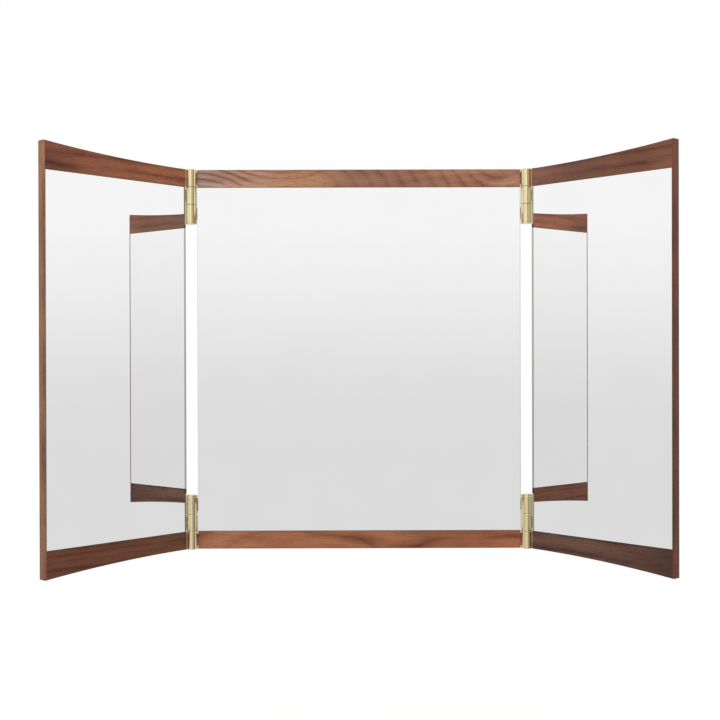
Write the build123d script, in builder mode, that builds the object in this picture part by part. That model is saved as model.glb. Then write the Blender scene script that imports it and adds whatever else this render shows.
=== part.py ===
"""Three-leaf folding wall mirror in millimetres: a fixed centre panel and two wings on brass barrel hinges.

The wall is the plane y = 0, the mirrors face -Y, z runs up, and the origin is behind the middle of the
centre panel. Each panel is drawn on the plane of its own mirror face: x runs outwards to the left, y up and
z into its depth. The pieces on the right and at the bottom are mirror images of those drawn.
"""

import os

from build123d import *

os.makedirs("parts", exist_ok=True)

# Panels
panel_height = 800
centre_width = 682
wing_width = 338.5
panel_depth = 20
wing_flare = 18
wing_angle = 46.7
wall_gap = 2

# Walnut frames
rail_face = 37
rail_shelf = 40
stile_width = 45
lip_width = 2.6
edge_break = 0.6

# Mirror glass and the tape that bonds it to the frame
glass_thickness = 4
glass_gap = 0.6
glass_arris = 0.5
tape_thickness = 1
tape_width = 18
tape_inset = 8

# Backing board, floating in a groove round the frame
board_thickness = 6
board_play = 0.1
board_clearance = 0.8
groove_setback = 4
groove_depth = 6

# Dowels in the corner joints
dowel_radius = 4
dowel_length = 36
dowel_play = 0.1
dowel_end_play = 0.5
dowel_edge = 11
dowel_pitch = 14
lap_dowel_edge = 17
lap_dowel_pitch = 32

# Barrel hinges with three knuckles each
barrel_radius = 11.5
barrel_gap = 0.5
axis_lead = 2.9
knuckle_length = 36.5
knuckle_gap = 0.6
knuckle_break = 0.6
barrel_end_break = 1.2
washer_thickness = 0.5
washer_inset = 0.5
pin_radius = 4
pin_play = 0.05
pin_head = 4.8
pin_end_gap = 0.3
plug_radius = 6
plug_thickness = 3
plug_play = 0.1
plug_slot_width = 1.2
plug_slot_depth = 0.8

# Hinge leaves, let into the edges of the panels
leaf_height = 25
leaf_thickness = 2
leaf_setback = 0.2
leaf_width = 13.4
leaf_play = 0.15
leaf_screw_setback = 8.4
leaf_screw_pitch = 14
leaf_screw_length = 14
leaf_screw_radius = 1.5
leaf_screw_head = 3

# Keyhole hanger plates and felt pads on the back
hanger_spacing = 500
plate_width = 22
plate_height = 48
plate_corner = 3
keyhole_radius = 5
keyhole_slot = 5
keyhole_rise = 16
pocket_width = 13
pocket_depth = 10
plate_screw_pitch = 40
plate_screw_length = 14
plate_screw_radius = 1.65
plate_screw_head = 3.2
pad_radius = 7
pad_inset = 16
pad_break = 0.4

# Slotted countersunk wood screws
screw_play = 0.1
screw_point = 2.5
screw_slot_width = 0.8
screw_slot_depth = 0.8
countersink_angle = 90

# Lines that the panels share
half_height = panel_height / 2
half_width = centre_width / 2
outer_height = half_height + wing_flare
glass_line = half_height - rail_face
glass_edge = glass_line - glass_gap
shelf_line = glass_line - rail_shelf
glass_seat = glass_thickness + tape_thickness
groove_front = glass_seat + groove_setback
groove_width = board_thickness + 2 * board_play
board_reach = groove_depth - board_clearance
frame_middle = (glass_seat + panel_depth) / 2
stile_line = half_width - stile_width
lap_line = wing_width - stile_width
lip_line = wing_width - lip_width

# Hinge levels, from the top of a panel down, and distances from the pin
hinge_reach = barrel_radius + barrel_gap
bore_radius = pin_radius + pin_play
end_level = half_height - knuckle_length / 2
wing_level = end_level - knuckle_length - knuckle_gap
inner_level = wing_level - knuckle_length - knuckle_gap
barrel_foot = inner_level - knuckle_length / 2
seat_reach = axis_lead + glass_seat
leaf_front = seat_reach + leaf_setback
leaf_back = leaf_front + leaf_width

# Mirror faces of the centre panel and of the left wing, which is turned about the left hinges
centre_face = Plane(origin=(0, -wall_gap - panel_depth, 0), x_dir=(-1, 0, 0), z_dir=(0, 1, 0))
flat_hinge = centre_face.moved(Location((half_width + hinge_reach, 0, -axis_lead)))
wing_hinge = flat_hinge.rotated((0, 0, wing_angle))
wing_face = wing_hinge.moved(Location((hinge_reach, 0, axis_lead)))

# The left hinges in plan: x runs from the pin to a leaf's own panel, and y to that panel's back
centre_side = Plane(origin=flat_hinge.origin, x_dir=(1, 0, 0), z_dir=(0, 0, 1))
wing_side = Plane(origin=flat_hinge.origin, x_dir=wing_hinge.x_dir, z_dir=(0, 0, -1))


def area(left, bottom, right, top, mode=Mode.ADD):
    """Draws a rectangle between two corners in the sketch in hand."""
    with Locations(((left + right) / 2, (bottom + top) / 2)):
        Rectangle(right - left, top - bottom, mode=mode)


def across(face, height):
    """The plane across a frame at a height: x outwards, z up, and its origin midway in the frame's depth."""
    origin = face.from_local_coords((0, height, frame_middle))
    return Plane(origin=origin, x_dir=face.x_dir, z_dir=face.y_dir)


def mirrored(piece, plane):
    """The mirror image of a piece, as a piece of its own."""
    with BuildPart() as image:
        mirror(piece.part, about=plane)
    return image


def save(name, piece):
    """Labels a finished piece and writes it under its own name."""
    piece.part.label = name
    export_step(piece.part, f"parts/{name}.step")


def wood_screw(shank, head, length):
    """A slotted countersunk screw, its head flush with z = 0 and its point down."""
    with BuildPart() as screw:
        with BuildSketch(Plane.XZ):
            with BuildLine():
                Polyline(
                    (0, 0),
                    (head, 0),
                    (shank, shank - head),
                    (shank, screw_point - length),
                    (0, -length),
                    close=True,
                )
            make_face()
        revolve(axis=Axis.Z)
        with BuildSketch():
            Rectangle(2 * (head + screw_slot_width), screw_slot_width)
        extrude(amount=-screw_slot_depth, mode=Mode.SUBTRACT)
    return screw


def screw_seats(middle):
    """The heads of a hinge leaf's two screws, each facing out of the panel's edge towards the pin."""
    seats = []
    for rise in (-leaf_screw_pitch / 2, leaf_screw_pitch / 2):
        origin = middle.from_local_coords((hinge_reach, leaf_front + leaf_screw_setback, rise))
        seats.append(Plane(origin=origin, x_dir=middle.z_dir, z_dir=-middle.x_dir))
    return seats


def leaf_pocket(middle):
    """What a panel's edge loses to one leaf: its shallow pocket and the pilot holes of its screws."""
    with BuildPart() as pocket:
        with BuildSketch(middle):
            area(hinge_reach, seat_reach, hinge_reach + leaf_thickness, leaf_back + leaf_play)
        extrude(amount=leaf_height / 2 + leaf_play, both=True)
        with Locations(*screw_seats(middle)):
            Cylinder(
                leaf_screw_radius + screw_play,
                leaf_screw_length + screw_play,
                align=(Align.CENTER, Align.CENTER, Align.MAX),
            )
    return pocket


def hinge_leaf(middle, top_break):
    """One knuckle with its neck and leaf, drawn about the knuckle's mid-height."""
    with BuildPart() as leaf:
        with BuildSketch(middle):
            Circle(barrel_radius)
        extrude(amount=knuckle_length / 2, both=True)
        chamfer(leaf.edges().filter_by(GeomType.CIRCLE).sort_by(Axis.Z)[0], knuckle_break)
        chamfer(leaf.edges().filter_by(GeomType.CIRCLE).sort_by(Axis.Z)[-1], top_break)
        with BuildSketch(middle):
            area(0, leaf_front, hinge_reach + leaf_thickness, barrel_radius)
            area(hinge_reach, leaf_front, hinge_reach + leaf_thickness, leaf_back)
        extrude(amount=leaf_height / 2, both=True)
        with BuildSketch(middle):
            Circle(bore_radius)
        extrude(amount=knuckle_length / 2, both=True, mode=Mode.SUBTRACT)
        with Locations(*screw_seats(middle)):
            CounterSinkHole(
                leaf_screw_radius + screw_play,
                leaf_screw_head + screw_play,
                depth=leaf_thickness,
                counter_sink_angle=countersink_angle,
            )
    return leaf


# The left wing's outline: beyond the hinge its ends flare apart on arcs
with BuildSketch() as wing_outline:
    with BuildLine():
        Line((0, -half_height), (0, half_height))
        TangentArc((0, half_height), (wing_width, outer_height), tangent=(1, 0))
        Line((wing_width, outer_height), (wing_width, -outer_height))
        TangentArc((0, -half_height), (wing_width, -outer_height), tangent=(1, 0))
    make_face()

# What the hinge leaves need cut from the centre panel and from the left wing
with BuildPart() as centre_pockets:
    for height in (end_level, inner_level):
        add(leaf_pocket(centre_side.offset(height)).part)
    mirror(about=Plane.XY)
    mirror(about=Plane.YZ)

with BuildPart() as wing_pockets:
    add(leaf_pocket(wing_side.offset(-wing_level)).part)
    mirror(about=Plane.XY)

# Centre rails: full width, rabbeted for the glass and grooved for the backing board
with BuildPart() as centre_rail:
    with BuildSketch(centre_face):
        area(-half_width, glass_line, half_width, half_height)
    extrude(amount=panel_depth)
    with BuildSketch(centre_face.offset(glass_seat)):
        area(-half_width, shelf_line, half_width, glass_line)
    extrude(amount=panel_depth - glass_seat)
    chamfer(centre_rail.edges().filter_by(Axis.X).group_by(Axis.Z)[-1], edge_break)
    with BuildSketch(centre_face.offset(groove_front)):
        groove_end = stile_line + groove_depth
        area(-groove_end, shelf_line, groove_end, shelf_line + groove_depth)
    extrude(amount=groove_width, mode=Mode.SUBTRACT)
    with BuildSketch(across(centre_face, shelf_line)):
        for inset in (dowel_edge, dowel_edge + dowel_pitch):
            with Locations((stile_line + inset, 0), (-stile_line - inset, 0)):
                Circle(dowel_radius + dowel_play)
    extrude(amount=dowel_length / 2 + dowel_end_play, mode=Mode.SUBTRACT)
    add(centre_pockets.part, mode=Mode.SUBTRACT)

# Keyhole hangers: each entry hole is level with the middle of its rail, and the slot rises from it
wall_face = Plane(origin=(0, 0, 0), x_dir=(-1, 0, 0), z_dir=(0, 1, 0))
entry_level = (half_height + shelf_line) / 2
plate_rise = keyhole_rise / 2
plate_screw_rises = (plate_rise - plate_screw_pitch / 2, plate_rise + plate_screw_pitch / 2)
columns = {"left": hanger_spacing / 2, "right": -hanger_spacing / 2}
rows = {"top": entry_level, "bottom": -entry_level}

for row, plain in (("top", centre_rail), ("bottom", mirrored(centre_rail, Plane.XY))):
    with BuildPart() as rail:
        add(plain.part)
        for column in columns.values():
            with BuildSketch(wall_face.offset(-wall_gap)):
                with Locations((column, rows[row] + plate_rise)):
                    SlotCenterToCenter(keyhole_rise, pocket_width, rotation=90)
            extrude(amount=-pocket_depth, mode=Mode.SUBTRACT)
            with BuildSketch(wall_face):
                with Locations(*[(column, rows[row] + rise) for rise in plate_screw_rises]):
                    Circle(plate_screw_radius + screw_play)
            extrude(amount=-plate_screw_length - screw_play, mode=Mode.SUBTRACT)
    save(f"centre_{row}_rail", rail)

# Hanger plates, pressed from steel as thick as the felt pads
for row in rows:
    for column in columns:
        with BuildPart() as plate:
            with BuildSketch(wall_face):
                with Locations((columns[column], rows[row] + plate_rise)):
                    RectangleRounded(plate_width, plate_height, plate_corner)
                    SlotCenterToCenter(keyhole_rise, keyhole_slot, rotation=90, mode=Mode.SUBTRACT)
                with Locations((columns[column], rows[row])):
                    Circle(keyhole_radius, mode=Mode.SUBTRACT)
            extrude(amount=-wall_gap)
            with Locations(wall_face):
                with Locations(*[(columns[column], rows[row] + rise) for rise in plate_screw_rises]):
                    CounterSinkHole(
                        plate_screw_radius + screw_play,
                        plate_screw_head + screw_play,
                        depth=wall_gap,
                        counter_sink_angle=countersink_angle,
                    )
        save(f"hanger_plate_{row}_{column}", plate)

plate_screw = wood_screw(plate_screw_radius, plate_screw_head, plate_screw_length)
with BuildPart() as hanger_screws:
    with Locations(wall_face):
        for row in rows.values():
            for column in columns.values():
                with Locations(*[(column, row + rise) for rise in plate_screw_rises]):
                    add(plate_screw.part)
save("hanger_screws", hanger_screws)

# Hinge-side stiles of the centre panel and the wing: behind the glass, between the rails
for name, face, edge, inside, pockets in (
    ("centre_left_stile", centre_face, half_width, stile_line, centre_pockets),
    ("left_wing_inner_stile", wing_face, 0, stile_width, wing_pockets),
):
    outwards = 1 if edge > inside else -1
    groove_floor = inside + outwards * groove_depth
    with BuildPart() as stile:
        with BuildSketch(face.offset(glass_seat)):
            area(min(edge, inside), -shelf_line, max(edge, inside), shelf_line)
        extrude(amount=panel_depth - glass_seat)
        with BuildSketch(face.offset(groove_front)):
            area(min(groove_floor, inside), -shelf_line, max(groove_floor, inside), shelf_line)
        extrude(amount=groove_width, mode=Mode.SUBTRACT)
        for end in (-1, 1):
            with BuildSketch(across(face, end * shelf_line)):
                for inset in (dowel_edge, dowel_edge + dowel_pitch):
                    with Locations((inside + outwards * inset, 0)):
                        Circle(dowel_radius + dowel_play)
            extrude(amount=-end * (dowel_length / 2 + dowel_end_play), mode=Mode.SUBTRACT)
        add(pockets.part, mode=Mode.SUBTRACT)
    save(name, stile)
    save(name.replace("left", "right"), mirrored(stile, Plane.YZ))

# Wing rails: the front runs over the outer stile to its lip, and the top follows the arc
depth_axis = Axis(wing_face.origin, wing_face.z_dir)
with BuildPart() as wing_rail:
    with BuildSketch(wing_face):
        add(wing_outline.sketch)
        area(0, glass_line, lip_line, outer_height, mode=Mode.INTERSECT)
    extrude(amount=glass_seat)
    with BuildSketch(wing_face.offset(glass_seat)):
        add(wing_outline.sketch)
        area(0, shelf_line, lap_line, outer_height, mode=Mode.INTERSECT)
    extrude(amount=panel_depth - glass_seat)
    arcs = wing_rail.edges().filter_by(GeomType.CIRCLE).group_by(depth_axis)
    chamfer(arcs[0] + arcs[-1], edge_break)
    with BuildSketch(wing_face.offset(groove_front)):
        area(stile_width - groove_depth, shelf_line, lap_line, shelf_line + groove_depth)
    extrude(amount=groove_width, mode=Mode.SUBTRACT)
    with BuildSketch(across(wing_face, shelf_line)):
        for inset in (dowel_edge, dowel_edge + dowel_pitch):
            with Locations((stile_width - inset, 0)):
                Circle(dowel_radius + dowel_play)
    extrude(amount=dowel_length / 2 + dowel_end_play, mode=Mode.SUBTRACT)
    lap_face = Plane(
        origin=wing_face.from_local_coords((lap_line, 0, frame_middle)),
        x_dir=wing_face.y_dir,
        z_dir=wing_face.x_dir,
    )
    lap_dowels = (shelf_line + lap_dowel_edge, shelf_line + lap_dowel_edge + lap_dowel_pitch)
    with BuildSketch(lap_face):
        with Locations(*[(height, 0) for height in lap_dowels]):
            Circle(dowel_radius + dowel_play)
    extrude(amount=-dowel_length / 2 - dowel_end_play, mode=Mode.SUBTRACT)
    add(wing_pockets.part, mode=Mode.SUBTRACT)
for row, rail in (("top", wing_rail), ("bottom", mirrored(wing_rail, Plane.XY))):
    save(f"left_wing_{row}_rail", rail)
    save(f"right_wing_{row}_rail", mirrored(rail, Plane.YZ))

# Outer stile: full height, with a narrow lip that covers the outer edge of the glass
with BuildPart() as outer_stile:
    with BuildSketch(wing_face):
        add(wing_outline.sketch)
        area(lip_line, -outer_height, wing_width, outer_height, mode=Mode.INTERSECT)
    extrude(amount=glass_seat)
    with BuildSketch(wing_face.offset(glass_seat)):
        add(wing_outline.sketch)
        area(lap_line, -outer_height, wing_width, outer_height, mode=Mode.INTERSECT)
    extrude(amount=panel_depth - glass_seat)
    arcs = outer_stile.edges().filter_by(GeomType.CIRCLE).group_by(depth_axis)
    long_edges = outer_stile.edges().filter_by(Axis.Z).group_by(Axis(wing_face.origin, wing_face.x_dir))
    chamfer(arcs[0] + arcs[-1] + long_edges[-1], edge_break)
    with BuildSketch(wing_face.offset(groove_front)):
        groove_end = shelf_line + groove_depth
        area(lap_line, -groove_end, lap_line + groove_depth, groove_end)
    extrude(amount=groove_width, mode=Mode.SUBTRACT)
    with BuildSketch(lap_face):
        with Locations(*[(side * height, 0) for height in lap_dowels for side in (-1, 1)]):
            Circle(dowel_radius + dowel_play)
    extrude(amount=dowel_length / 2 + dowel_end_play, mode=Mode.SUBTRACT)

# Backing boards, loose in their grooves
board_top = shelf_line + board_reach
with BuildPart() as centre_board:
    with BuildSketch(centre_face.offset(groove_front + board_play)):
        area(-stile_line - board_reach, -board_top, stile_line + board_reach, board_top)
    extrude(amount=board_thickness)

with BuildPart() as wing_board:
    with BuildSketch(wing_face.offset(groove_front + board_play)):
        area(stile_width - board_reach, -board_top, lap_line + board_reach, board_top)
    extrude(amount=board_thickness)

# Mirror glass, its edges ground to a small arris
with BuildPart() as centre_glass:
    with BuildSketch(centre_face):
        area(-half_width, -glass_edge, half_width, glass_edge)
    extrude(amount=glass_thickness)
    chamfer(centre_glass.edges(), glass_arris)

with BuildPart() as wing_glass:
    with BuildSketch(wing_face):
        area(0, -glass_edge, lip_line - glass_gap, glass_edge)
    extrude(amount=glass_thickness)
    chamfer(wing_glass.edges(), glass_arris)

# Tape on the rails and stiles behind the glass, in four strips a panel
strip_low = shelf_line + tape_inset
strip_end = shelf_line - tape_inset
with BuildPart() as centre_tape:
    with BuildSketch(centre_face.offset(glass_thickness)):
        for side in (-1, 1):
            with Locations((0, side * (strip_low + tape_width / 2))):
                Rectangle(centre_width - 2 * tape_inset, tape_width)
            with Locations((side * (stile_line + tape_inset + tape_width / 2), 0)):
                Rectangle(tape_width, 2 * strip_end)
    extrude(amount=tape_thickness)

with BuildPart() as wing_tape:
    with BuildSketch(wing_face.offset(glass_thickness)):
        for side in (-1, 1):
            with Locations((lip_line / 2, side * (strip_low + tape_width / 2))):
                Rectangle(lip_line - 2 * tape_inset, tape_width)
        for start in (stile_width - tape_inset - tape_width, lap_line + tape_inset):
            with Locations((start + tape_width / 2, 0)):
                Rectangle(tape_width, 2 * strip_end)
    extrude(amount=tape_thickness)

# Dowels, half in each piece of a joint
with BuildPart() as centre_dowels:
    with BuildSketch(across(centre_face, shelf_line)):
        for inset in (dowel_edge, dowel_edge + dowel_pitch):
            with Locations((stile_line + inset, 0), (-stile_line - inset, 0)):
                Circle(dowel_radius)
    extrude(amount=dowel_length / 2, both=True)
    mirror(about=Plane.XY)

with BuildPart() as wing_dowels:
    with BuildSketch(across(wing_face, shelf_line)):
        for inset in (dowel_edge, dowel_edge + dowel_pitch):
            with Locations((stile_width - inset, 0)):
                Circle(dowel_radius)
    extrude(amount=dowel_length / 2, both=True)
    with BuildSketch(lap_face):
        with Locations(*[(height, 0) for height in lap_dowels]):
            Circle(dowel_radius)
    extrude(amount=dowel_length / 2, both=True)
    mirror(about=Plane.XY)

# Felt pads on the backs of the panels, one near each corner
pad_height = half_height - pad_inset
with BuildPart() as centre_pads:
    with BuildSketch(wall_face):
        with GridLocations(centre_width - 2 * pad_inset, 2 * pad_height, 2, 2):
            Circle(pad_radius)
    extrude(amount=-wall_gap)
    chamfer(centre_pads.edges().filter_by(GeomType.CIRCLE).group_by(Axis.Y)[-1], pad_break)

with BuildPart() as wing_pads:
    with BuildSketch(wing_face.offset(panel_depth)):
        with Locations((wing_width / 2, 0)):
            with GridLocations(wing_width - 2 * pad_inset, 2 * pad_height, 2, 2):
                Circle(pad_radius)
    extrude(amount=wall_gap)
    chamfer(wing_pads.edges().filter_by(GeomType.CIRCLE).group_by(depth_axis)[-1], pad_break)

for name, centre_piece, wing_piece in (
    ("backing_board", centre_board, wing_board),
    ("mirror", centre_glass, wing_glass),
    ("mirror_tape", centre_tape, wing_tape),
    ("dowels", centre_dowels, wing_dowels),
    ("wall_pads", centre_pads, wing_pads),
):
    save(f"centre_{name}", centre_piece)
    save(f"left_wing_{name}", wing_piece)
    save(f"right_wing_{name}", mirrored(wing_piece, Plane.YZ))
save("left_wing_outer_stile", outer_stile)
save("right_wing_outer_stile", mirrored(outer_stile, Plane.YZ))

# The top left hinge: the knuckles at its ends belong to the centre panel, the one between them to the wing
with BuildPart() as end_leaf:
    add(hinge_leaf(centre_side.offset(end_level), barrel_end_break).part)
    with Locations(centre_side.offset(half_height)):
        Hole(plug_radius + plug_play, depth=plug_thickness)

inner_leaf = hinge_leaf(centre_side.offset(inner_level), knuckle_break)
wing_leaf = hinge_leaf(wing_side.offset(-wing_level), knuckle_break)

# The pin is driven in from the inner end, where its head closes the barrel
with BuildPart() as hinge_pin:
    with BuildSketch(centre_side.offset(barrel_foot)):
        Circle(barrel_radius)
    extrude(amount=-pin_head)
    chamfer(hinge_pin.edges().filter_by(GeomType.CIRCLE).sort_by(Axis.Z)[-1], knuckle_break)
    chamfer(hinge_pin.edges().filter_by(GeomType.CIRCLE).sort_by(Axis.Z)[0], barrel_end_break)
    with BuildSketch(centre_side.offset(barrel_foot)):
        Circle(pin_radius)
    extrude(amount=half_height - plug_thickness - pin_end_gap - barrel_foot)

# A slotted plug closes the other end
with BuildPart() as hinge_plug:
    with BuildSketch(centre_side.offset(half_height)):
        Circle(plug_radius)
    extrude(amount=-plug_thickness)
    with BuildSketch(centre_side.offset(half_height)):
        Rectangle(2 * (plug_radius + plug_slot_width), plug_slot_width)
    extrude(amount=-plug_slot_depth, mode=Mode.SUBTRACT)

# Thin washers part the knuckles
with BuildPart() as hinge_washers:
    for height in (end_level, wing_level):
        with BuildSketch(centre_side.offset(height - (knuckle_length + knuckle_gap) / 2)):
            Circle(barrel_radius - washer_inset)
            Circle(bore_radius, mode=Mode.SUBTRACT)
        extrude(amount=washer_thickness / 2, both=True)

for name, piece in (
    ("end_leaf", end_leaf),
    ("inner_leaf", inner_leaf),
    ("wing_leaf", wing_leaf),
    ("pin", hinge_pin),
    ("plug", hinge_plug),
    ("washers", hinge_washers),
):
    for row, upright in (("top", piece), ("bottom", mirrored(piece, Plane.XY))):
        save(f"{row}_left_hinge_{name}", upright)
        save(f"{row}_right_hinge_{name}", mirrored(upright, Plane.YZ))

# Brass screws of the leaves
leaf_screw = wood_screw(leaf_screw_radius, leaf_screw_head, leaf_screw_length)
with BuildPart() as centre_screws:
    for height in (end_level, inner_level):
        with Locations(*screw_seats(centre_side.offset(height))):
            add(leaf_screw.part)
    mirror(about=Plane.XY)
    mirror(about=Plane.YZ)
save("centre_hinge_screws", centre_screws)

with BuildPart() as wing_screws:
    with Locations(*screw_seats(wing_side.offset(-wing_level))):
        add(leaf_screw.part)
    mirror(about=Plane.XY)
save("left_wing_hinge_screws", wing_screws)
save("right_wing_hinge_screws", mirrored(wing_screws, Plane.YZ))
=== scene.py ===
import math

import bpy
import numpy as np
from mathutils import Matrix


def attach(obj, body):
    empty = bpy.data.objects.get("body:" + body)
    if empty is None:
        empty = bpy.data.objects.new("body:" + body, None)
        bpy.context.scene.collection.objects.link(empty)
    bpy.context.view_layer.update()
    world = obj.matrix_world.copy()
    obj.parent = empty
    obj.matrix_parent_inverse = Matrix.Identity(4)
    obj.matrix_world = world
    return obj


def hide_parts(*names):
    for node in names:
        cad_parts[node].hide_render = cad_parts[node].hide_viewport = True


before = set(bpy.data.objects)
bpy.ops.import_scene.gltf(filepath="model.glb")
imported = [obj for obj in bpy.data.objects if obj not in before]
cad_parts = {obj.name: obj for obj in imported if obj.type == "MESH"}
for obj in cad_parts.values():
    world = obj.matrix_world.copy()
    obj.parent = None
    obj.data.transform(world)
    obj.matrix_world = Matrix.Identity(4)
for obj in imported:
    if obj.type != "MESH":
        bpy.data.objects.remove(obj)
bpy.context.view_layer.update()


# The camera stands where the photograph's did, worked out from the frame's edges and their reflections.
# Its height and place are in the mirror's own frame, with the wall at y = 0.
mm = 0.001
camera_place = (-1.4 * mm, -2494.4 * mm, 8.3 * mm)
camera_yaw, camera_pitch, camera_roll = math.radians(0.078), math.radians(0.239), math.radians(0.145)
picture_width = 720
focal_pixels = 1170.7
sensor_width = 36

forward = np.array([
    math.cos(camera_pitch) * math.sin(camera_yaw),
    math.cos(camera_pitch) * math.cos(camera_yaw),
    -math.sin(camera_pitch),
])
level = np.array([math.cos(camera_yaw), -math.sin(camera_yaw), 0.0])
plumb = np.cross(level, forward)
right = math.cos(camera_roll) * level - math.sin(camera_roll) * plumb
up = math.sin(camera_roll) * level + math.cos(camera_roll) * plumb
camera_data = bpy.data.cameras.new("camera")
camera_data.sensor_width = sensor_width
camera_data.lens = focal_pixels * sensor_width / picture_width
camera = bpy.data.objects.new("camera", camera_data)
bpy.context.scene.collection.objects.link(camera)
camera_turn = Matrix(np.column_stack([right, up, -forward])).to_4x4()
camera.matrix_world = Matrix.Translation(camera_place) @ camera_turn
bpy.context.scene.camera = camera


# The studio: a white room whose light comes from all round, a little more from the left and from above.
# What shines sees its walls: paler above than below, bright ahead, dimmer and warmer to the sides, with a
# dark stand some way to the right of the camera and a large soft light above it.
tone_rises = (-0.08, 0.11)
plain_rises = (0.17, 0.3)
light_rises = (0.18, 0.36)
light_ahead = (0.5, 0.8)
light_gain = 4.0
room_strength = 0.72


def linear(code):
    """The linear colour of an sRGB hex value, as red, green, blue and alpha."""
    parts = [int(code[i:i + 2], 16) / 255 for i in (0, 2, 4)]
    return (*[c / 12.92 if c <= 0.04045 else ((c + 0.055) / 1.055) ** 2.4 for c in parts], 1.0)


def add(tree, kind, sockets=None, stops=None, easing="LINEAR", **settings):
    """Adds a node: settings are its properties, and sockets its inputs, each a value or an output to link.
    A Mix takes colours at 6 and 7 and gives one at 2, or takes vectors at 4 and 5 and gives one at 1."""
    made = tree.nodes.new("ShaderNode" + kind)
    for name, value in settings.items():
        setattr(made, name, value)
    for name, value in (sockets or {}).items():
        if isinstance(value, bpy.types.NodeSocket):
            tree.links.new(value, made.inputs[name])
        else:
            made.inputs[name].default_value = value
    if stops:
        ramp = made.color_ramp
        ramp.interpolation = easing
        for place, _ in stops[1:-1]:
            ramp.elements.new(place)
        for element, (place, colour) in zip(ramp.elements, stops):
            element.position, element.color = place, colour
    return made


def fresh(holder):
    """An empty node tree in a material or world."""
    holder.use_nodes = True
    holder.node_tree.nodes.clear()
    return holder.node_tree


world = bpy.data.worlds.new("studio")
bpy.context.scene.world = world
tree = fresh(world)
direction = add(tree, "SeparateXYZ", {0: add(tree, "TexCoord").outputs["Generated"]})
# A rise is the upward part of a direction, 0 on the level and 1 straight up
height = add(tree, "MapRange", {
    "Value": direction.outputs["Z"], "From Min": tone_rises[0], "From Max": tone_rises[1],
})
wall_tone = add(tree, "ValToRGB", {0: height.outputs[0]}, stops=[
    (0.0, linear("dedede")), (0.2, linear("e0e0e0")), (0.375, linear("e4e4e4")), (0.467, linear("e8e8e8")),
    (0.644, linear("eeeeee")), (0.733, linear("f1f1f1")), (0.907, linear("f5f5f5")), (1.0, linear("f8f8f8")),
])
outwards = add(tree, "Math", {0: direction.outputs["Y"], 1: -1.0}, operation="MULTIPLY")
turn = add(tree, "Math", {0: direction.outputs["X"], 1: outwards.outputs[0]}, operation="ARCTAN2")
around = add(tree, "MapRange", {"Value": turn.outputs[0], "From Min": -math.pi, "From Max": math.pi})
# A bearing of 0 degrees is straight out from the wall, and falls in the middle of the ramp
wall_light = add(tree, "ValToRGB", {0: around.outputs[0]}, stops=[
    (0.5 + bearing / 360, linear(tone)) for bearing, tone in (
        (-75, "ffffff"), (-69, "d8ceb8"), (-56, "dccfb6"), (-44, "fff6ea"), (-28, "fbf0e2"), (-10, "ffffff"),
        (16.6, "ffffff"), (17.4, "1c1812"), (27, "1c1812"), (28, "fff6e2"), (33, "f0e2c6"), (42, "b8a688"),
        (54, "96836a"), (69, "917e66"), (75, "ffffff"),
    )
])
# High and low the walls give way to a plain white
steepness = add(tree, "Math", {0: direction.outputs["Z"]}, operation="ABSOLUTE")
plain = add(tree, "MapRange", {
    "Value": steepness.outputs[0], "From Min": plain_rises[0], "From Max": plain_rises[1],
})
wall_light = add(tree, "Mix", {
    "Factor": plain.outputs[0], 6: wall_light.outputs[0], 7: linear("ffffff"),
}, data_type="RGBA")
seen = add(tree, "Mix", {
    "Factor": 1.0, 6: wall_tone.outputs[0], 7: wall_light.outputs[2],
}, data_type="RGBA", blend_type="MULTIPLY")
lifted = add(tree, "MapRange", {
    "Value": direction.outputs["Z"], "From Min": light_rises[0], "From Max": light_rises[1],
})
ahead = add(tree, "MapRange", {
    "Value": outwards.outputs[0], "From Min": light_ahead[0], "From Max": light_ahead[1],
})
overhead = add(tree, "Math", {0: lifted.outputs[0], 1: ahead.outputs[0]}, operation="MULTIPLY")
strength = add(tree, "Math", {0: overhead.outputs[0], 1: light_gain, 2: 1.0}, operation="MULTIPLY_ADD")
rays = add(tree, "LightPath")
shining = add(tree, "Math", {
    0: rays.outputs["Is Glossy Ray"], 1: rays.outputs["Is Transmission Ray"],
}, operation="MAXIMUM")
plain_light = add(tree, "Background", {"Color": linear("fffdfa"), "Strength": room_strength})
white = add(tree, "Background", {"Color": linear("ffffff"), "Strength": 1.0})
reflected = add(tree, "Background", {"Color": seen.outputs[2], "Strength": strength.outputs[0]})
unseen = add(tree, "MixShader", {0: shining.outputs[0], 1: plain_light.outputs[0], 2: reflected.outputs[0]})
whole = add(tree, "MixShader", {0: rays.outputs["Is Camera Ray"], 1: unseen.outputs[0], 2: white.outputs[0]})
add(tree, "OutputWorld", {0: whole.outputs[0]})

# Four square soft lamps, with their places and sides in metres and their powers in watts. All point at the
# mirror's middle, and none shows in a reflection
for name, place, side, power in (
    ("key_lamp", (-2.6, -3.0, 1.9), 2.2, 62),
    ("fill_lamp", (2.6, -3.2, 0.9), 2.6, 14),
    ("top_lamp", (0.0, -0.6, 3.0), 2.4, 30),
    ("back_lamp", (0.6, 2.8, 1.8), 2.4, 40),
):
    lamp_data = bpy.data.lights.new(name, "AREA")
    lamp_data.shape = "SQUARE"
    lamp_data.size = side
    lamp_data.energy = power
    lamp = bpy.data.objects.new(name, lamp_data)
    bpy.context.scene.collection.objects.link(lamp)
    lamp.location = place
    lamp.rotation_mode = "QUATERNION"
    lamp.rotation_quaternion = (-lamp.location).to_track_quat("-Z", "Y")
    lamp.visible_glossy = False

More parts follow.
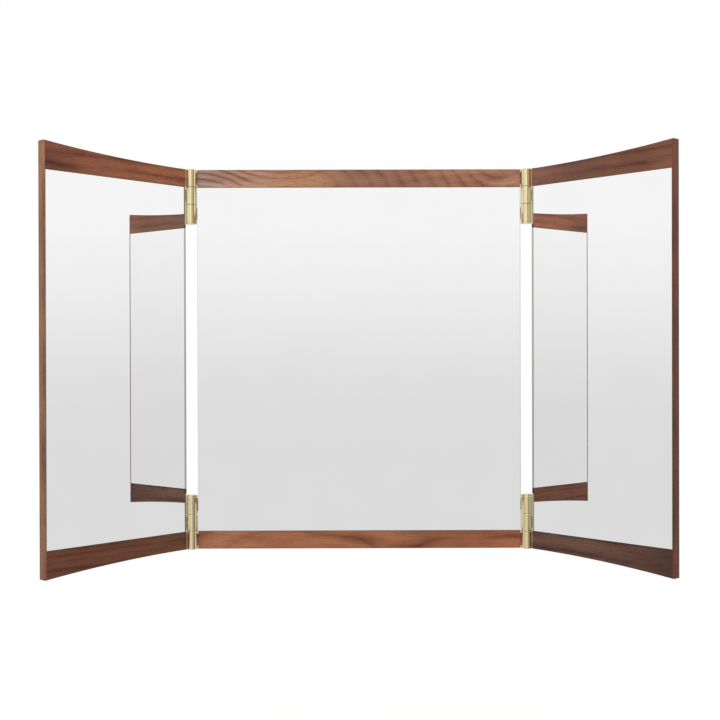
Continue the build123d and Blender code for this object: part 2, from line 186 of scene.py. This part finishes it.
# The floor is a pale disc well below the mirror, as under a wall at dressing height, and fades to white.
# The mirrors don't show it
floor_level = -1.15
floor_radius = 5.0
floor_sides = 96
fade_start, fade_end = 0.7, 1.5
rim = np.linspace(0, 2 * np.pi, floor_sides, endpoint=False)
rim_points = floor_radius * np.column_stack([np.cos(rim), np.sin(rim), np.zeros(floor_sides)])
floor_mesh = bpy.data.meshes.new("floor")
floor_mesh.from_pydata(rim_points.tolist(), [], [list(range(floor_sides))])
floor = bpy.data.objects.new("floor", floor_mesh)
floor.location = (0, 0, floor_level)
bpy.context.scene.collection.objects.link(floor)
paint = bpy.data.materials.new("floor_paint")
tree = fresh(paint)
distance = add(tree, "VectorMath", {0: add(tree, "TexCoord").outputs["Object"]}, operation="LENGTH")
fading = add(tree, "MapRange", {
    "Value": distance.outputs["Value"], "From Min": fade_start, "From Max": fade_end,
})
rays = add(tree, "LightPath")
fade = add(tree, "Math", {0: fading.outputs[0], 1: rays.outputs["Is Camera Ray"]}, operation="MULTIPLY")
matt = add(tree, "BsdfPrincipled", {"Base Color": linear("f4f3f1"), "Roughness": 0.8})
glow = add(tree, "Emission", {"Color": linear("ffffff"), "Strength": 1.0})
clear = add(tree, "BsdfTransparent")
shown = add(tree, "MixShader", {0: fade.outputs[0], 1: matt.outputs[0], 2: glow.outputs[0]})
hidden = add(tree, "MixShader", {0: rays.outputs["Is Glossy Ray"], 1: shown.outputs[0], 2: clear.outputs[0]})
add(tree, "OutputMaterial", {0: hidden.outputs[0]})
floor_mesh.materials.append(paint)


# Rails and stiles: solid walnut, planed, sanded and oiled, dowelled at the corners. The rails' grain runs
# along them and the stiles' grain runs upright. Each is cut from another part of the board, and some tints
# also hold painted sheen or painted shade.
wing_angle = 46.7
panel_turns = {"centre": 0.0, "left_wing": wing_angle, "right_wing": -wing_angle}
ring_growth = 1.6
rings_into_board = 60.0
pattern_step = (7.3, 3.1, 5.7)


def dress(name, material):
    """Gives a CAD node its finish."""
    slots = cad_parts[name].data.materials
    slots.clear()
    slots.append(material)


def metres(tree, turn, upright=False):
    """Object coordinates in a panel's own directions: x along the grain, y into the wall and z across."""
    panel = add(tree, "Mapping", {
        "Vector": add(tree, "TexCoord").outputs["Object"], "Rotation": (0, 0, -math.radians(turn)),
    })
    return add(tree, "Mapping", {
        "Vector": panel.outputs[0], "Rotation": (0, math.radians(90) if upright else 0, 0),
    }).outputs[0]


def reach(name, turn, upright=False):
    """How far a CAD node reaches along its grain and across it, each from and to, in metres."""
    x, y, z = np.array([v.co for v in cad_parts[name].data.vertices]).T
    level = x * math.cos(math.radians(turn)) + y * math.sin(math.radians(turn))
    along, across = (z, -level) if upright else (level, z)
    return along.min(), along.max(), across.min(), across.max()


def mottle(tree, grain, lengths, detail, roughness=0.5, shift=0.0):
    """Soft blotches of the given lengths in millimetres along x, y and z. Each piece has its own shift, so
    that no two show the same ones."""
    blotches = add(tree, "Mapping", {
        "Vector": grain, "Scale": tuple(1 / (length * mm) for length in lengths),
        "Location": tuple(shift * step for step in pattern_step),
    })
    return add(tree, "TexNoise", {
        "Vector": blotches.outputs[0], "Scale": 1.0, "Detail": detail, "Roughness": roughness,
    }).outputs[0]


def walnut(name, turn, upright, shift, rows, swing, course, tints):
    """Walnut cut from the board and oiled: brown with darker ring lines, fine streaks and short pores, under
    a low soft gloss. The rings are the contours of a slope that steepens across the grain, added to a course
    along it and loosened by a slow mottle. The course holds, at even steps along the piece, how far the
    rings have swung and what share of the rows lies across it there. Tints follow one another along the
    piece, and on some pieces they also hold painted sheen or painted shade. Fibres and pores are mottles
    drawn out along the grain, and wider than real ones so that they show."""
    material = bpy.data.materials.new("walnut_" + name)
    tree = fresh(material)
    grain = metres(tree, turn, upright)
    start, end, low, high = reach(name, turn, upright)
    pitch = (high - low) / rows / mm
    place = add(tree, "SeparateXYZ", {0: grain})
    along = add(tree, "MapRange", {"Value": place.outputs["X"], "From Min": start, "From Max": end})
    steps = add(tree, "ValToRGB", {0: along.outputs[0]}, easing="B_SPLINE", stops=[
        (i / (len(course) - 1), (bend, share, 0, 1)) for i, (bend, share) in enumerate(course)
    ])
    steps = add(tree, "SeparateColor", {0: steps.outputs[0]})
    tint = add(tree, "ValToRGB", {0: along.outputs[0]}, easing="EASE", stops=[
        (i / (len(tints) - 1), linear(code)) for i, code in enumerate(tints)
    ])
    across = add(tree, "MapRange", {"Value": place.outputs["Z"], "From Min": low, "From Max": high})
    slope = add(tree, "Math", {0: across.outputs[0], 1: ring_growth}, operation="POWER")
    share = add(tree, "Math", {0: steps.outputs["Green"], 1: rows}, operation="MULTIPLY")
    wander = mottle(tree, grain, (8 * pitch, 4 * pitch, 3 * pitch), 3.0, 0.55, shift)
    rings = add(tree, "Math", {
        0: slope.outputs[0], 1: share.outputs[0], 2: wander,
    }, operation="MULTIPLY_ADD")
    rings = add(tree, "Math", {
        0: steps.outputs["Red"], 1: swing, 2: rings.outputs[0],
    }, operation="MULTIPLY_ADD")
    rings = add(tree, "Math", {
        0: place.outputs["Y"], 1: rings_into_board, 2: rings.outputs[0],
    }, operation="MULTIPLY_ADD")
    phase = add(tree, "Math", {0: rings.outputs[0]}, operation="FRACT")
    # One ring: pale early wood, darkening to a late line that ends softly
    ring_tone = add(tree, "ValToRGB", {0: phase.outputs[0]}, stops=[
        (0.0, linear("e0d6d2")), (0.22, linear("ffffff")), (0.55, linear("f4efec")), (0.74, linear("dccfc9")),
        (0.84, linear("a68e88")), (0.9, linear("c6b4ae")), (1.0, linear("e0d6d2")),
    ])
    clouds = mottle(tree, grain, (120, 40, 24), 3.0, 0.5, shift)
    cloud_tone = add(tree, "ValToRGB", {0: clouds}, stops=[
        (0.32, linear("dad2d2")), (0.66, linear("ffffff")),
    ])
    fibres = mottle(tree, grain, (70, 1.4, 1.4), 3.0, 0.6, shift)
    fibre_tone = add(tree, "ValToRGB", {0: fibres}, stops=[
        (0.34, linear("e2dcd8")), (0.64, linear("ffffff")),
    ])
    pores = mottle(tree, grain, (12, 0.8, 0.8), 1.0, 0.4, shift)
    pore_tone = add(tree, "ValToRGB", {0: pores}, stops=[
        (0.3, linear("c4b6ae")), (0.37, linear("ffffff")),
    ])
    # The rings fade where the wood is cloudy
    ring_share = add(tree, "MapRange", {
        "Value": clouds, "From Min": 0.36, "From Max": 0.62, "To Min": 1.0, "To Max": 0.35,
    })
    tone = tint.outputs[0]
    for layer, share in (
        (ring_tone, ring_share.outputs[0]), (cloud_tone, 1.0), (fibre_tone, 1.0), (pore_tone, 1.0),
    ):
        tone = add(tree, "Mix", {
            "Factor": share, 6: tone, 7: layer.outputs[0],
        }, data_type="RGBA", blend_type="MULTIPLY").outputs[2]
    sheen = add(tree, "MapRange", {
        "Value": fibres, "From Min": 0.3, "From Max": 0.7, "To Min": 0.46, "To Max": 0.36,
    })
    relief = add(tree, "Bump", {"Strength": 0.35, "Distance": 0.15 * mm, "Height": pore_tone.outputs[0]})
    surface = add(tree, "BsdfPrincipled", {
        "Base Color": tone, "Roughness": sheen.outputs[0], "Normal": relief.outputs[0], "IOR": 1.48,
        "Specular IOR Level": 0.3,
    })
    add(tree, "OutputMaterial", {0: surface.outputs[0]})
    return material


# The centre top rail has a long tongue of rings on the left, then slanting lines, and a nest of curves on
# the right
tongue_and_nest = (
    (0.0, 1.0), (0.02, 1.0), (0.06, 1.0), (0.12, 1.0), (0.18, 1.0), (0.21, 1.0), (0.22, 1.0), (0.23, 1.0),
    (0.25, 0.8), (0.28, 0.5), (0.34, 0.32), (0.4, 0.3), (0.46, 0.3), (0.52, 0.3), (0.58, 0.3), (0.64, 0.3),
    (0.7, 0.3), (0.76, 0.32), (0.82, 0.34), (0.88, 0.38), (0.93, 0.45), (0.97, 0.55), (1.0, 0.65),
    (0.98, 0.7), (0.94, 0.7),
)
low_waves = (
    (0.7, 0.8), (0.5, 0.9), (0.35, 0.8), (0.46, 0.9), (0.5, 1.0), (0.6, 0.8), (0.46, 0.7), (0.5, 0.9),
    (0.5, 1.0),
)
straight = ((0.5, 1.0), (0.45, 1.0), (0.5, 1.0), (0.55, 1.0), (0.5, 1.0))
# The centre top rail's tints start paler and greyer at its left end: that is a painted sheen over the wood's
# own tone
top_tints_and_sheen = ("b09488", "be957c", "b08160", "8c644e", "946851", "a47259", "ab7c63")
bottom_tints = ("a77152", "9f6645", "a36b49", "9c6444", "a56947")

# Each row is a piece, its shift, its rows of rings, how many rings its course swings over, the course, and
# the tints, which on some pieces also hold painted sheen or painted shade
for panel, members in (
    ("centre", (
        ("top_rail", 0.0, 4.0, 14.0, tongue_and_nest, top_tints_and_sheen),
        ("bottom_rail", 3.1, 2.4, 5.0, low_waves, bottom_tints),
        ("left_stile", 1.7, 3.0, 2.0, straight, ("a8744f", "9f6d4c")),
        ("right_stile", 2.3, 3.0, 2.0, straight, ("a8744f", "9f6d4c")),
    )),
    ("left_wing", (
        ("top_rail", 4.2, 3.2, 0.9, straight, ("814d37", "955a40", "a56747", "a66a4a")),
        ("bottom_rail", 5.3, 9.0, 0.8, straight, ("70412b", "6b3e29", "6a402b")),
        ("inner_stile", 6.4, 3.0, 2.0, straight, ("96603f", "8f5b3e")),
        ("outer_stile", 7.5, 2.0, 1.0, straight, ("91644b", "8a6247", "8e6549", "9e6e50")),
    )),
    ("right_wing", (
        ("top_rail", 8.6, 3.2, 0.9, straight, ("875d4c", "724d3e", "7d513e", "815440")),
        ("bottom_rail", 9.7, 3.4, 0.8, straight, ("62453a", "694a3b", "4f332a")),
        ("inner_stile", 10.8, 3.0, 2.0, straight, ("8c6450", "84604c")),
        # The right wing's outer stile gets dark tints: painted shade for its outward side, which is turned
        # from the light
        ("outer_stile", 11.9, 2.0, 1.0, straight, ("6c391e", "683619", "763f22")),
    )),
):
    for piece, shift, rows, swing, course, tints in members:
        name = f"{panel}_{piece}"
        upright = piece.endswith("stile")
        dress(name, walnut(name, panel_turns[panel], upright, shift, rows, swing, course, tints))


# Dowels: beech, turned to size and fluted along, so that the glue can creep round them. Each is glued half
# into the rail and half into the stile of a corner joint, where its grain stands upright.
def speckled(name, turn, upright, pale, dark, lengths, roughness, metallic=0.0, bump=0.0):
    """A finish with one mottle from dark to pale, its lengths in millimetres. Where it is paler it is also
    smoother and stands higher, by less than bump millimetres."""
    material = bpy.data.materials.new(name)
    tree = fresh(material)
    blotches = mottle(tree, metres(tree, turn, upright), lengths, 4.0, 0.55)
    tone = add(tree, "ValToRGB", {0: blotches}, stops=[(0.3, linear(dark)), (0.7, linear(pale))])
    rough = add(tree, "MapRange", {
        "Value": blotches, "From Min": 0.3, "From Max": 0.7,
        "To Min": 1.15 * roughness, "To Max": 0.85 * roughness,
    })
    relief = add(tree, "Bump", {"Strength": 0.6, "Distance": bump * mm, "Height": blotches})
    surface = add(tree, "BsdfPrincipled", {
        "Base Color": tone.outputs[0], "Roughness": rough.outputs[0], "Metallic": metallic,
        "Normal": relief.outputs[0],
    })
    add(tree, "OutputMaterial", {0: surface.outputs[0]})
    return material


# Turned beech is a pale even tan with short streaks along it, and dull
for panel, turn in panel_turns.items():
    beech = speckled("beech_" + panel, turn, True, "d2ab7c", "b98f62", (12, 0.8, 0.8), 0.6)
    dress(panel + "_dowels", beech)


# Backing boards: birch plywood faced with walnut veneer and oiled, one behind each mirror. They lie loose in
# the grooves of the frames, so that they can swell. The veneer is cut flat, with its rings far apart.
veneer_ring = 26
for panel, shift in (("centre", 12.7), ("left_wing", 13.8), ("right_wing", 14.9)):
    name = panel + "_backing_board"
    turn = panel_turns[panel]
    *_, low, high = reach(name, turn, True)
    rows = (high - low) / (veneer_ring * mm)
    dress(name, walnut(name, turn, True, shift, rows, 2.0, straight, ("a87a5c", "a07254")))


# Mirrors: 4 mm float glass, silvered and painted on the back, with ground and polished edges. They are stuck
# to the frames, flush with the rails. Next to the hinges a grey-green band is painted on the front: a painted
# reflection of the glass's edge, as seen through the glass.
# Widths in millimetres of the painted reflection of the glass edge, on the wings and on the centre mirror
wing_painted_reflection_width = 5.2
centre_painted_reflection_width = 0.6
painted_reflection_fade = 0.5
face_skin = 0.05


def silvered(name, node, turn, painted_reflection_width):
    """Silvered glass: a clear cold reflection with no grain. The flat front mirrors, the flat back has its
    paint, and the edges between them are green glass. A strip of the given width next to the hinges is a
    painted reflection of the glass's edge: it has the edge's grey-green and fades into the silver."""
    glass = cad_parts[node]
    points = np.empty(3 * len(glass.data.vertices))
    glass.data.vertices.foreach_get("co", points)
    x, y = points.reshape(-1, 3)[:, :2].T
    angle = math.radians(turn)
    along, depth = x * math.cos(angle) + y * math.sin(angle), y * math.cos(angle) - x * math.sin(angle)
    hinge_edge = along.min() if along.mean() > 0 else along.max()
    front_limit = depth.min() + face_skin * mm
    back_limit = depth.max() - face_skin * mm
    material = bpy.data.materials.new(name)
    tree = fresh(material)
    sheet = metres(tree, turn)
    place = add(tree, "SeparateXYZ", {0: sheet})
    front = add(tree, "Math", {0: place.outputs["Y"], 1: front_limit}, operation="LESS_THAN")
    back = add(tree, "Math", {0: place.outputs["Y"], 1: back_limit}, operation="GREATER_THAN")
    inset = add(tree, "Math", {0: place.outputs["X"], 1: hinge_edge}, operation="SUBTRACT")
    inset = add(tree, "Math", {0: inset.outputs[0]}, operation="ABSOLUTE")
    painted_reflection_share = add(tree, "MapRange", {
        "Value": inset.outputs[0], "From Min": painted_reflection_width * mm, "From Max": (painted_reflection_width + painted_reflection_fade) * mm,
        "To Min": 1.0, "To Max": 0.0,
    })
    silver = add(tree, "ValToRGB", {0: mottle(tree, sheet, (90, 90, 90), 1.0)}, stops=[
        (0.3, linear("fbfbfb")), (0.7, linear("fcfcfc")),
    ])
    # The grey-green mixed in here is the painted reflection of the glass edge, not a colour of the silver
    face = add(tree, "Mix", {
        "Factor": painted_reflection_share.outputs[0], 6: silver.outputs[0], 7: linear("b4b9b0"),
    }, data_type="RGBA")
    rear = add(tree, "Mix", {
        "Factor": back.outputs[0], 6: linear("8f9c8c"), 7: linear("6c706e"),
    }, data_type="RGBA")
    tone = add(tree, "Mix", {
        "Factor": front.outputs[0], 6: rear.outputs[2], 7: face.outputs[2],
    }, data_type="RGBA")
    rough = add(tree, "MapRange", {"Value": front.outputs[0], "To Min": 0.12, "To Max": 0.0})
    surface = add(tree, "BsdfPrincipled", {
        "Base Color": tone.outputs[2], "Metallic": front.outputs[0], "Roughness": rough.outputs[0],
    })
    add(tree, "OutputMaterial", {0: surface.outputs[0]})
    return material


for panel, turn in panel_turns.items():
    painted_reflection_width = centre_painted_reflection_width if panel == "centre" else wing_painted_reflection_width
    dress(panel + "_mirror", silvered("silvered_glass_" + panel, panel + "_mirror", turn, painted_reflection_width))


# Mirror tape: strips of white closed-cell foam with glue on both faces. Four strips stick each mirror to the
# rails and stiles behind it. The foam is dull, with cells about a millimetre wide.
for panel, turn in panel_turns.items():
    foam = speckled("foam_tape_" + panel, turn, False, "e9e8e4", "d6d5cf", (1, 1, 1), 0.85, bump=0.1)
    dress(panel + "_mirror_tape", foam)


# Keyhole hangers: steel plates 2 mm thick, pressed to shape and zinc plated. Two countersunk screws hold each
# to the back of a centre rail. Bright zinc is a cold pale grey with a dim gloss and a large faint spangle.
zinc = speckled("zinc_plated_steel", 0.0, False, "c8cdd0", "a3a8ab", (9, 9, 2), 0.34, metallic=1.0, bump=0.02)
for row in ("top", "bottom"):
    for column in ("left", "right"):
        dress(f"hanger_plate_{row}_{column}", zinc)
dress("hanger_screws", zinc)


# Felt pads: brown wool felt 2 mm thick, punched out in discs and stuck to the backs of the frames, one near
# each corner. Pressing has rounded their outer rims. They are dark and dull, with a short fuzz.
pad_radius = 7.0
pad_round = 0.7
pad_sides = 48
flat_steps = 9
round_steps = 7


def felt_pad(along_axis, back_axis, middle, thickness):
    """The points and faces of a pad that is turned about its middle. Its profile runs out over the flat face,
    round a quarter circle, down the straight side and in again over the glued face."""
    quarter = np.linspace(0, np.pi / 2, round_steps)[1:]
    flat_radius = pad_radius - pad_round
    radii = mm * np.concatenate([
        np.linspace(0, flat_radius, flat_steps), flat_radius + pad_round * np.sin(quarter), [pad_radius, 0.0],
    ])
    heights = np.concatenate([
        np.full(flat_steps, thickness), thickness - (1 - np.cos(quarter)) * pad_round * mm, [0.0, 0.0],
    ])
    spin = np.linspace(0, 2 * np.pi, pad_sides, endpoint=False)
    rings = (
        middle + np.outer(radii, np.cos(spin))[..., None] * along_axis
        + heights[:, None, None] * back_axis
        + np.outer(radii, np.sin(spin))[..., None] * np.array([0, 0, 1])
    )
    row, column = np.meshgrid(np.arange(len(radii) - 1), np.arange(pad_sides), indexing="ij")
    after = (column + 1) % pad_sides
    quads = np.stack([
        row * pad_sides + column, row * pad_sides + after,
        (row + 1) * pad_sides + after, (row + 1) * pad_sides + column,
    ], axis=-1)
    return rings.reshape(-1, 3), quads.reshape(-1, 4)


for panel, body in (("centre", "centre_panel"), ("left_wing", "left_wing"), ("right_wing", "right_wing")):
    node = panel + "_wall_pads"
    angle = math.radians(panel_turns[panel])
    along_axis = np.array([math.cos(angle), math.sin(angle), 0])
    back_axis = np.array([-math.sin(angle), math.cos(angle), 0])
    corners = np.array([v.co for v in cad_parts[node].data.vertices])
    along, depth, level = corners @ along_axis, corners @ back_axis, corners[:, 2]
    thickness = depth.max() - depth.min()
    points, faces = [], []
    for centre_along in (along.min() + pad_radius * mm, along.max() - pad_radius * mm):
        for centre_level in (level.min() + pad_radius * mm, level.max() - pad_radius * mm):
            middle = centre_along * along_axis + depth.min() * back_axis + np.array([0, 0, centre_level])
            pad_points, pad_faces = felt_pad(along_axis, back_axis, middle, thickness)
            faces.append(pad_faces + sum(len(p) for p in points))
            points.append(pad_points)
    pads_mesh = bpy.data.meshes.new(panel + "_felt_pads")
    pads_mesh.from_pydata(np.concatenate(points).tolist(), [], np.concatenate(faces).tolist())
    pads = bpy.data.objects.new(panel + "_felt_pads", pads_mesh)
    bpy.context.scene.collection.objects.link(pads)
    pads_mesh.materials.append(speckled(
        "wool_felt_" + panel, 0.0, False, "6a5548", "42342c", (0.5, 0.5, 0.5), 0.95, bump=0.3,
    ))
    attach(pads, body)
    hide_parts(node)


# Hinges: barrels, leaves and pins turned and milled from solid brass, then polished. Two countersunk brass
# screws hold each leaf, and thin black nylon washers part the three knuckles of each barrel.
barrel_radius = 11.5
barrel_skin = 0.2


def polished(name, pale, dark, roughness):
    """Polished brass: a warm bright gold that reflects the room in clean upright streaks. Its mottle is
    faint. On the barrels the normal points straight out from the pin, as it does on a turned surface, so
    that the reflections run smoothly round them."""
    hinge = np.array([v.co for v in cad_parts["top_right_hinge_washers"].data.vertices])
    pin_x, pin_y, _ = (hinge.min(axis=0) + hinge.max(axis=0)) / 2
    material = bpy.data.materials.new(name)
    tree = fresh(material)
    object_place = add(tree, "TexCoord").outputs["Object"]
    blotches = mottle(tree, object_place, (30, 30, 3), 4.0, 0.55)
    tone = add(tree, "ValToRGB", {0: blotches}, stops=[(0.3, linear(dark)), (0.7, linear(pale))])
    rough = add(tree, "MapRange", {
        "Value": blotches, "From Min": 0.3, "From Max": 0.7,
        "To Min": 1.15 * roughness, "To Max": 0.85 * roughness,
    })
    place = add(tree, "SeparateXYZ", {0: object_place})
    side = add(tree, "Math", {0: place.outputs["X"]}, operation="SIGN")
    pin = add(tree, "Math", {0: side.outputs[0], 1: float(pin_x)}, operation="MULTIPLY")
    out = add(tree, "Math", {0: place.outputs["X"], 1: pin.outputs[0]}, operation="SUBTRACT")
    back = add(tree, "Math", {0: place.outputs["Y"], 1: float(pin_y)}, operation="SUBTRACT")
    spoke = add(tree, "CombineXYZ", {"X": out.outputs[0], "Y": back.outputs[0]})
    radius = add(tree, "VectorMath", {0: spoke.outputs[0]}, operation="LENGTH")
    barrel = add(tree, "Math", {
        0: radius.outputs["Value"], 1: barrel_radius * mm, 2: barrel_skin * mm,
    }, operation="COMPARE")
    outward = add(tree, "VectorTransform", {
        0: spoke.outputs[0],
    }, vector_type="NORMAL", convert_from="OBJECT", convert_to="WORLD")
    outward = add(tree, "VectorMath", {0: outward.outputs[0]}, operation="NORMALIZE")
    flat = add(tree, "Bump", {"Strength": 0.1, "Distance": 0.01 * mm, "Height": blotches})
    normal = add(tree, "Mix", {
        "Factor": barrel.outputs[0], 4: flat.outputs[0], 5: outward.outputs[0],
    }, data_type="VECTOR")
    surface = add(tree, "BsdfPrincipled", {
        "Base Color": tone.outputs[0], "Roughness": rough.outputs[0], "Metallic": 1.0,
        "Normal": normal.outputs[1],
    })
    add(tree, "OutputMaterial", {0: surface.outputs[0]})
    return material


brass = polished("polished_brass", "f8ecc6", "f2e4ba", 0.06)
# Moulded nylon is a warm black, half dull, without any grain that shows
nylon = speckled("black_nylon", 0.0, False, "35332f", "26241f", (1, 1, 1), 0.5)
for row in ("top", "bottom"):
    for column in ("left", "right"):
        for piece in ("end_leaf", "inner_leaf", "wing_leaf", "pin", "plug"):
            dress(f"{row}_{column}_hinge_{piece}", brass)
        dress(f"{row}_{column}_hinge_washers", nylon)
for panel in panel_turns:
    dress(panel + "_hinge_screws", brass)

bpy.context.scene.view_settings.view_transform = "Standard"
